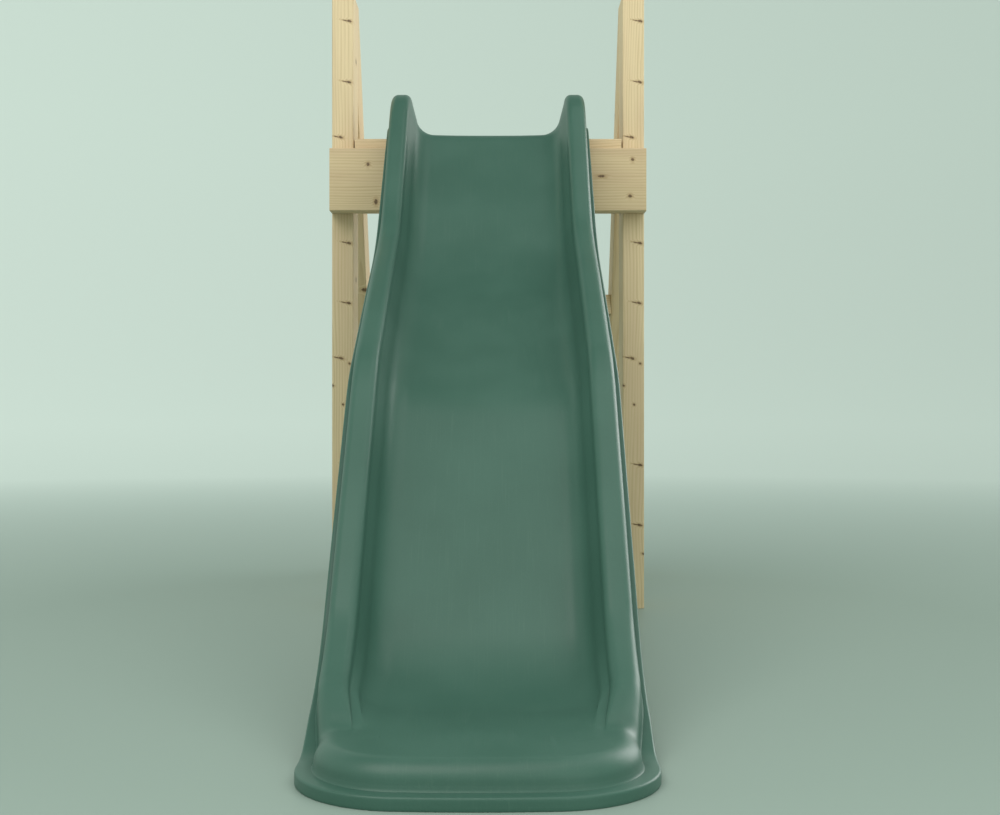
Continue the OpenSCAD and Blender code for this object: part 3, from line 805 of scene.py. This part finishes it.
def section(s, inside):
    """The moulding's cross-section from the lip inwards: [inset from the edge, height]. The
    rails fade away where the run-out's flange begins."""
    full = max(0.0, rail_top(s))
    h = full - inside
    tall = curve_of(full, 0, 40)
    side = 1 - curve_of(s, lengths[8] - 20, lengths[8] + 98)
    lip = max(lip_rest if s < head_l else lip_foot, rail_at(s, 2))
    flat = between(18.0, between(4.0, 6.0, curve_of(s, head_l, lengths[3])), side)
    edge_r = 1.2 if inside else 3.0
    top_r = min(between(24.0, 12.0, tall), 0.8 * (full - lip) + 6) - inside
    top_d = flat + 1 + 0.06 * (full - lip) + inside
    ridge = between(60.0, 46.5, side) - inside
    ridge_h = max(0.0, min(12.0, full / 3) - inside)
    ridge_w = max(3.0, ridge_h)
    fillet_w = between(22.0, 38.0, side) + inside * tall
    fillet_h = min(38.0, 0.6 * full)
    soft = 1.0
    sign = -1 if inside else 1
    bottom = lip - lip_turn
    points = [(inside + sign * soft, bottom), (inside + sign * 0.3 * soft, bottom + 0.3 * soft),
              (inside, bottom + soft)]
    points += [(inside, between(bottom + soft, lip - inside - edge_r, u)) for u in (0.33, 0.67)]
    points += quarter(inside + edge_r, lip - inside - edge_r, edge_r, edge_r, 4)
    seam_d = flat + inside / 2
    seam_h = min(lip + 2, full) - 0.4 * inside
    points += [(seam_d - 0.2, lip - inside), (seam_d + 0.2, lip - inside),
               (seam_d + 0.7, between(lip - inside, seam_h, 0.35)),
               (flat + 1.5 + inside, seam_h)]
    wall_d, wall_h = top_d, h - top_r
    points += [(between(flat + 1.5 + inside, wall_d, u), between(seam_h, wall_h, u))
               for u in (0.25, 0.5, 0.75)]
    points += quarter(top_d + top_r, h - top_r, top_r, top_r, 9)
    left, right = top_d + top_r, ridge - ridge_w
    points += [(between(left, right, u), h) for u in (0.33, 0.67)]
    points += quarter(ridge - ridge_w, h - ridge_h, ridge_w, ridge_h, 9, 90, 180)
    fillet = []
    for k in range(12):
        a = radians(between(13, 90, k / 11))
        rise = dish_at(s) + fillet_h * (1 - sin(a)) - inside * between(1, sin(a), tall)
        fillet.append((rim_d - fillet_w * cos(a), rise))
    foot_d, foot_h = fillet[0]
    points += [(between(ridge, foot_d, u), between(h - ridge_h, foot_h, u))
               for u in (0.25, 0.5, 0.75)]
    return points + fillet


# the edge's plan: straight sides, round corners and a slightly crowned front
corner_r, corner_turn = 125.0, radians(86)
bed_corner_r = corner_r - rim_d
CORNER, FRONT = 24, 12
s_front = lengths[9]
edge_mx = half_w - corner_r + corner_r * cos(corner_turn)
crown = tan(pi / 2 - corner_turn) / (2 * edge_mx)
bed_x = half_w - rim_d
bed_mx = bed_x - bed_corner_r + bed_corner_r * cos(corner_turn)
edge_s = s_front - crown * edge_mx ** 2 - corner_r * sin(corner_turn)
bed_s = s_front - rim_d - crown * bed_mx ** 2 - bed_corner_r * sin(corner_turn)
steps = [16, 9, 30, 20, 34, 12, 36, 22, 22]
spokes = []
for k, count in enumerate(steps):
    final = k == len(steps) - 1
    for j in range(count):
        u = j / (count - 1 if final else count)
        u = u * u if k == 0 else u
        s = between(lengths[k], edge_s if final else lengths[k + 1], u)
        t = between(lengths[k], bed_s if final else lengths[k + 1], u)
        spokes.append((-half_w, s, -bed_x, t))
side_count = len(spokes)
for k in range(1, CORNER + 1):
    a = corner_turn * k / CORNER
    spokes.append((-(half_w - corner_r + corner_r * cos(a)), edge_s + corner_r * sin(a),
                   -(bed_x - bed_corner_r + bed_corner_r * cos(a)),
                   bed_s + bed_corner_r * sin(a)))
for k in range(1, FRONT + 1):
    x = edge_mx * (1 - k / FRONT)
    b = bed_mx * (1 - k / FRONT)
    spokes.append((-x, s_front - crown * x * x, -b, s_front - rim_d - crown * b * b))
spokes += [(-m[0], m[1], -m[2], m[3]) for m in reversed(spokes[:-1])]
columns = len(spokes)
across = 2 * (CORNER + FRONT)


def put(x, s, h):
    """From x, length along the bed and height over it to the frame."""
    run, z, slope = bed_at(s)
    return (x * MM, front_y - (run + h * sin(slope)) * MM, (z + h * cos(slope)) * MM)


points = []
flow = []
faces = []
rows = 0
skin_first = []
for inside in (0.0, skin_t):
    skin_first.append(len(points))
    for ex, es, bx, bs in spokes:
        profile = section(es, inside)
        rows = len(profile)
        for d, h in profile:
            x = between(ex, bx, d / rim_d)
            s = between(es, bs, d / rim_d)
            set_back = inside * max(0.0, 1 - es / ear_l) * max(0.0, min(1.0, h / 22.0))
            points.append(put(x, s + set_back, h))
            flow.append((x * MM, s * MM, h * MM))
    for k in range(side_count - 1):
        s = spokes[k][3]
        for i in range(1, across):
            x = -bed_x * spokes[side_count - 1 + i][2] / spokes[side_count - 1][2]
            h = dish_at(s) * x * x / (bed_x * bed_x)
            points.append(put(x, s, h - inside))
            flow.append((x * MM, s * MM, 0.0))


def rim_i(c, j, skin):
    return skin_first[skin] + c * rows + j


def bed_i(k, i, skin):
    if i == 0:
        return rim_i(k, rows - 1, skin)
    if i == across:
        return rim_i(columns - 1 - k, rows - 1, skin)
    if k == side_count - 1:
        return rim_i(side_count - 1 + i, rows - 1, skin)
    return skin_first[skin] + columns * rows + k * (across - 1) + i - 1


for c in range(columns - 1):
    for j in range(rows - 1):
        faces.append((rim_i(c, j, 0), rim_i(c + 1, j, 0), rim_i(c + 1, j + 1, 0), rim_i(c, j + 1, 0)))
        faces.append((rim_i(c, j, 1), rim_i(c, j + 1, 1), rim_i(c + 1, j + 1, 1), rim_i(c + 1, j, 1)))
    faces.append((rim_i(c, 0, 0), rim_i(c, 0, 1), rim_i(c + 1, 0, 1), rim_i(c + 1, 0, 0)))
for k in range(side_count - 1):
    for i in range(across):
        faces.append((bed_i(k, i, 0), bed_i(k + 1, i, 0), bed_i(k + 1, i + 1, 0), bed_i(k, i + 1, 0)))
        faces.append((bed_i(k, i, 1), bed_i(k, i + 1, 1), bed_i(k + 1, i + 1, 1), bed_i(k + 1, i, 1)))
for j in range(rows - 1):
    faces.append((rim_i(0, j, 0), rim_i(0, j + 1, 0), rim_i(0, j + 1, 1), rim_i(0, j, 1)))
    last = columns - 1
    faces.append((rim_i(last, j + 1, 0), rim_i(last, j, 0), rim_i(last, j, 1), rim_i(last, j + 1, 1)))
for i in range(across):
    faces.append((bed_i(0, i, 0), bed_i(0, i + 1, 0), bed_i(0, i + 1, 1), bed_i(0, i, 1)))
mesh = bpy.data.meshes.new("chute_moulding")
mesh.from_pydata(points, [], faces)
layer = mesh.attributes.new("flow", "FLOAT_VECTOR", "POINT")
for value, item in zip(flow, layer.data):
    item.vector = value
tidy = bmesh.new()
tidy.from_mesh(mesh)
bmesh.ops.recalc_face_normals(tidy, faces=tidy.faces)
tidy.to_mesh(mesh)
tidy.free()
for face in mesh.polygons:
    face.use_smooth = True
mesh.set_sharp_from_angle(angle=radians(50))
chute = bpy.data.objects.new("chute_moulding", mesh)
bpy.context.scene.collection.objects.link(chute)


def green_plastic():
    """Dyed polyethylene with a fine matt texture from the mould, and lighter grey streaks along the
    bed that are wear from sliding together with a painted sheen.
    """
    made = bpy.data.materials.new("green_moulded_plastic")
    made.use_nodes = True
    tree = made.node_tree
    shader = tree.nodes["Principled BSDF"]
    links = tree.links

    def node(kind, **values):
        new = tree.nodes.new(kind)
        for key, value in values.items():
            setattr(new, key, value)
        return new

    def noise(source, scale, detail, rough=0.5):
        new = node("ShaderNodeTexNoise")
        new.inputs["Scale"].default_value = scale
        new.inputs["Detail"].default_value = detail
        new.inputs["Roughness"].default_value = rough
        links.new(source, new.inputs["Vector"])
        return new.outputs[0]

    def span(value, low, high, out_low, out_high):
        new = node("ShaderNodeMapRange", interpolation_type="SMOOTHSTEP")
        links.new(value, new.inputs[0])
        for k, number in enumerate((low, high, out_low, out_high)):
            new.inputs[k + 1].default_value = number
        return new.outputs[0]

    def math(operation, a, b, c=0.0):
        new = node("ShaderNodeMath", operation=operation)
        for socket, value in zip(new.inputs, (a, b, c)):
            if isinstance(value, float):
                socket.default_value = value
            else:
                links.new(value, socket)
        return new.outputs[0]

    def mix(factor, a, b):
        new = node("ShaderNodeMix", data_type="RGBA")
        links.new(factor, new.inputs[0])
        for socket, value in ((new.inputs[6], a), (new.inputs[7], b)):
            if isinstance(value, tuple):
                socket.default_value = (*value, 1.0)
            else:
                links.new(value, socket)
        return new.outputs[2]

    place = node("ShaderNodeTexCoord").outputs["Object"]
    flow_at = node("ShaderNodeAttribute", attribute_name="flow").outputs["Vector"]
    apart = node("ShaderNodeSeparateXYZ")
    links.new(flow_at, apart.inputs[0])
    stretch = node("ShaderNodeVectorMath", operation="MULTIPLY")
    stretch.inputs[1].default_value = (420.0, 9.0, 60.0)
    links.new(flow_at, stretch.inputs[0])
    wear_and_sheen_streaks = noise(stretch.outputs[0], 1.0, 4.0, 0.65)
    from_middle = math("ABSOLUTE", apart.outputs[0], 0.0)
    in_bed = math("MULTIPLY", span(from_middle, 0.085, 0.128, 1.0, 0.0),
                  span(apart.outputs[1], 0.02, 0.20, 0.2, 1.0))
    wear_and_sheen = math("MULTIPLY", span(wear_and_sheen_streaks, 0.52, 0.78, 0.0, 1.0), in_bed)
    cloud = noise(place, 7.0, 3.0)
    speck = noise(place, 1400.0, 2.0)
    colour = mix(span(cloud, 0.3, 0.7, 0.0, 1.0), (0.045, 0.118, 0.088), (0.052, 0.131, 0.099))
    colour = mix(span(speck, 0.45, 0.70, 0.0, 0.30), colour, (0.075, 0.170, 0.132))
    # wear with painted sheen: the streaks lighten the bed towards grey
    colour = mix(math("MULTIPLY", wear_and_sheen, 0.22), colour, (0.12, 0.205, 0.17))
    links.new(colour, shader.inputs["Base Color"])
    gloss = span(cloud, 0.3, 0.7, 0.40, 0.46)
    gloss = math("MULTIPLY_ADD", wear_and_sheen, 0.10, gloss)
    links.new(gloss, shader.inputs["Roughness"])
    shader.inputs["Specular IOR Level"].default_value = 0.45
    peel = noise(place, 210.0, 2.0)
    grain = noise(place, 1900.0, 2.0, 0.6)
    height = math("MULTIPLY_ADD", grain, 0.25, peel)
    bump = node("ShaderNodeBump")
    bump.inputs["Strength"].default_value = 0.22
    bump.inputs["Distance"].default_value = 0.0003
    links.new(height, bump.inputs["Height"])
    links.new(bump.outputs[0], shader.inputs["Normal"])
    return made


mesh.materials.append(green_plastic())
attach(chute, "root")
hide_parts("chute")

# ---- Chute fixings ----------------------------------------------------------------------
# Three pan-headed screws on washers hold the chute's head down on the front deck board.


def pan_headed(length, head_r, head_h, rise, shank_r):
    """A round-topped screw with a six-lobed drive, whose head sits on a washer."""
    drive = head_r * 0.45

    def shape(made, at, outward):
        dome = [[round_r(head_r * sin(radians(a))), rise + head_h * (0.42 + 0.58 * cos(radians(a)))]
                for a in (38, 50, 62, 74, 84, 90)]
        turned(made, at, outward,
               [[round_r(drive * 0.3), rise + head_h * 0.28],
                [lobe_r(drive * 0.92), rise + head_h * 0.30],
                [lobe_r(drive), rise + head_h * 0.86],
                [lobe_r(drive * 1.08), rise + head_h * 0.90]] + dome +
               [[round_r(head_r), rise + 0.0002],
                [round_r(head_r - 0.0002), rise],
                [round_r(shank_r), rise],
                [round_r(shank_r), -length + 2 * shank_r],
                [round_r(0.0004), -length]])
    return shape


places = []
for lo, hi in spots("chute_washers"):
    places.append([Vector(((lo.x + hi.x) / 2, (lo.y + hi.y) / 2, lo.z)), (0, 0, 1)])
lo, hi = spots("chute_washers")[0]
rise = hi.z - lo.z
set_of("chute_fixing_washers", "chute_washers", places, washer(0.0031, (hi.x - lo.x) / 2, rise))
low, high = spots("chute_screws")[0]
head_r = (high.x - low.x) / 2
set_of("chute_fixings", "chute_screws", places,
       pan_headed(lo.z - low.z, head_r, high.z - hi.z, rise, head_r / 2))

# ---- Floor, light and camera ------------------------------------------------------------
# A plain pale studio floor that rises into a wall all round; floor and wall glow as painted light,
# brighter further out and on the left. Soft light from above, and the camera low in front of the
# chute's end.
flat_r, sweep_r, wall_top = 6.0, 2.6, 9.0
around = 96
sweep_points = [(0.0001 + flat_r * k / 12, 0.0) for k in range(13)]
for k in range(1, 25):
    a = radians(90 * k / 24)
    sweep_points.append((flat_r + sweep_r * sin(a), sweep_r * (1 - cos(a))))
sweep_points.append((flat_r + sweep_r, wall_top))
turns = [2 * pi * k / around for k in range(around)]
made = bmesh.new()
loops = []
for radius, z in sweep_points:
    loops.append([made.verts.new((radius * cos(a), radius * sin(a), z)) for a in turns])
for first, second in zip(loops, loops[1:]):
    for k in range(around):
        n = (k + 1) % around
        made.faces.new((first[k], first[n], second[n], second[k]))
made.faces.new(list(reversed(loops[0])))
bmesh.ops.recalc_face_normals(made, faces=made.faces)
floor_mesh = bpy.data.meshes.new("studio_floor")
made.to_mesh(floor_mesh)
made.free()
for face in floor_mesh.polygons:
    face.use_smooth = True
floor = bpy.data.objects.new("studio_floor", floor_mesh)
bpy.context.scene.collection.objects.link(floor)
pale = bpy.data.materials.new("pale_floor")
pale.use_nodes = True
tree = pale.node_tree
shader = tree.nodes["Principled BSDF"]
where = tree.nodes.new("ShaderNodeTexCoord")
reach = tree.nodes.new("ShaderNodeVectorMath")
reach.operation = "LENGTH"
tree.links.new(where.outputs["Object"], reach.inputs[0])
scale = tree.nodes.new("ShaderNodeMath")
scale.operation = "MULTIPLY"
scale.inputs[1].default_value = 1 / 10.0
tree.links.new(reach.outputs["Value"], scale.inputs[0])
# near the slide the floor is a mid tone; further out floor and wall glow, painted light that
# brightens them into the pale wall
tone = tree.nodes.new("ShaderNodeValToRGB")
tone.color_ramp.elements[0].position = 0.12
tone.color_ramp.elements[0].color = (0.300, 0.385, 0.340, 1)
tone.color_ramp.elements[1].position = 0.60
tone.color_ramp.elements[1].color = (0.30, 0.37, 0.33, 1)
tree.links.new(scale.outputs[0], tone.inputs[0])
tree.links.new(tone.outputs[0], shader.inputs["Base Color"])
# painted light: an emission on floor and wall that rises with the distance from the slide
painted_light_glow = tree.nodes.new("ShaderNodeValToRGB")
painted_light_glow.color_ramp.elements[0].position = 0.10
painted_light_glow.color_ramp.elements[0].color = (0.0, 0.0, 0.0, 1)
painted_light_glow.color_ramp.elements[1].position = 0.72
painted_light_glow.color_ramp.elements[1].color = (0.415, 0.475, 0.435, 1)
middle = painted_light_glow.color_ramp.elements.new(0.40)
middle.color = (0.20, 0.235, 0.215, 1)
tree.links.new(scale.outputs[0], painted_light_glow.inputs[0])
apart = tree.nodes.new("ShaderNodeSeparateXYZ")
tree.links.new(where.outputs["Object"], apart.inputs[0])
# painted shade: the glow is lowered towards the right, to 0.74 of its strength
painted_light_left_to_right = tree.nodes.new("ShaderNodeMapRange")
for k, number in enumerate((-4.0, 4.0, 1.00, 0.74)):
    painted_light_left_to_right.inputs[k + 1].default_value = number
tree.links.new(apart.outputs[0], painted_light_left_to_right.inputs[0])
painted_light_scaled = tree.nodes.new("ShaderNodeVectorMath")
painted_light_scaled.operation = "SCALE"
tree.links.new(painted_light_glow.outputs[0], painted_light_scaled.inputs[0])
tree.links.new(painted_light_left_to_right.outputs[0], painted_light_scaled.inputs["Scale"])
tree.links.new(painted_light_scaled.outputs[0], shader.inputs["Emission Color"])
shader.inputs["Emission Strength"].default_value = 1.0
shader.inputs["Roughness"].default_value = 0.50
shader.inputs["Specular IOR Level"].default_value = 0.25
floor_mesh.materials.append(pale)

world = bpy.data.worlds.new("studio_air")
bpy.context.scene.world = world
world.use_nodes = True
sky = world.node_tree.nodes["Background"]
sky.inputs["Color"].default_value = (0.93, 0.97, 0.95, 1)
sky.inputs["Strength"].default_value = 0.55
world.cycles_visibility.glossy = False


def soft_light(name, at, towards, size, power, tint):
    """A large square lamp that gives soft light and is not seen itself."""
    lamp = bpy.data.lights.new(name, "AREA")
    lamp.shape = "SQUARE"
    lamp.size = size
    lamp.energy = power
    lamp.color = tint
    held = bpy.data.objects.new(name, lamp)
    bpy.context.scene.collection.objects.link(held)
    held.location = at
    held.rotation_euler = (Vector(towards) - Vector(at)).to_track_quat("-Z", "Y").to_euler()
    held.visible_camera = False
    return held


soft_light("key_lamp", (-1.6, -3.0, 4.3), (0, 0, 0.6), 3.4, 108, (1.0, 0.97, 0.93))
soft_light("top_lamp", (1.5, -0.8, 3.9), (0.1, -0.2, 0.5), 3.0, 28, (1.0, 0.98, 0.95))
fill = soft_light("fill_lamp", (1.9, -3.6, 1.4), (0.2, 0, 0.5), 2.4, 34, (1.0, 0.97, 0.93))
fill.visible_glossy = False
side = soft_light("side_lamp", (2.7, 1.9, 1.6), (0.1, -0.3, 0.5), 2.2, 60, (1.0, 0.98, 0.98))
# a screen keeps the side lamp's light off the floor
slide_only = bpy.data.collections.new("slide_only")
for item in bpy.context.scene.objects:
    if item.type == "MESH" and item is not floor:
        slide_only.objects.link(item)
side.light_linking.receiver_collection = slide_only

camera_data = bpy.data.cameras.new("camera")
camera_data.lens = 50.0
camera_data.sensor_width = 36.0
camera_data.clip_end = 60.0
camera = bpy.data.objects.new("camera", camera_data)
bpy.context.scene.collection.objects.link(camera)
camera.location = (0.0244, front_y - 2.847, 0.412)
camera.rotation_euler = (radians(90), 0, 0)
bpy.context.scene.camera = camera
bpy.context.scene.view_settings.view_transform = "Standard"
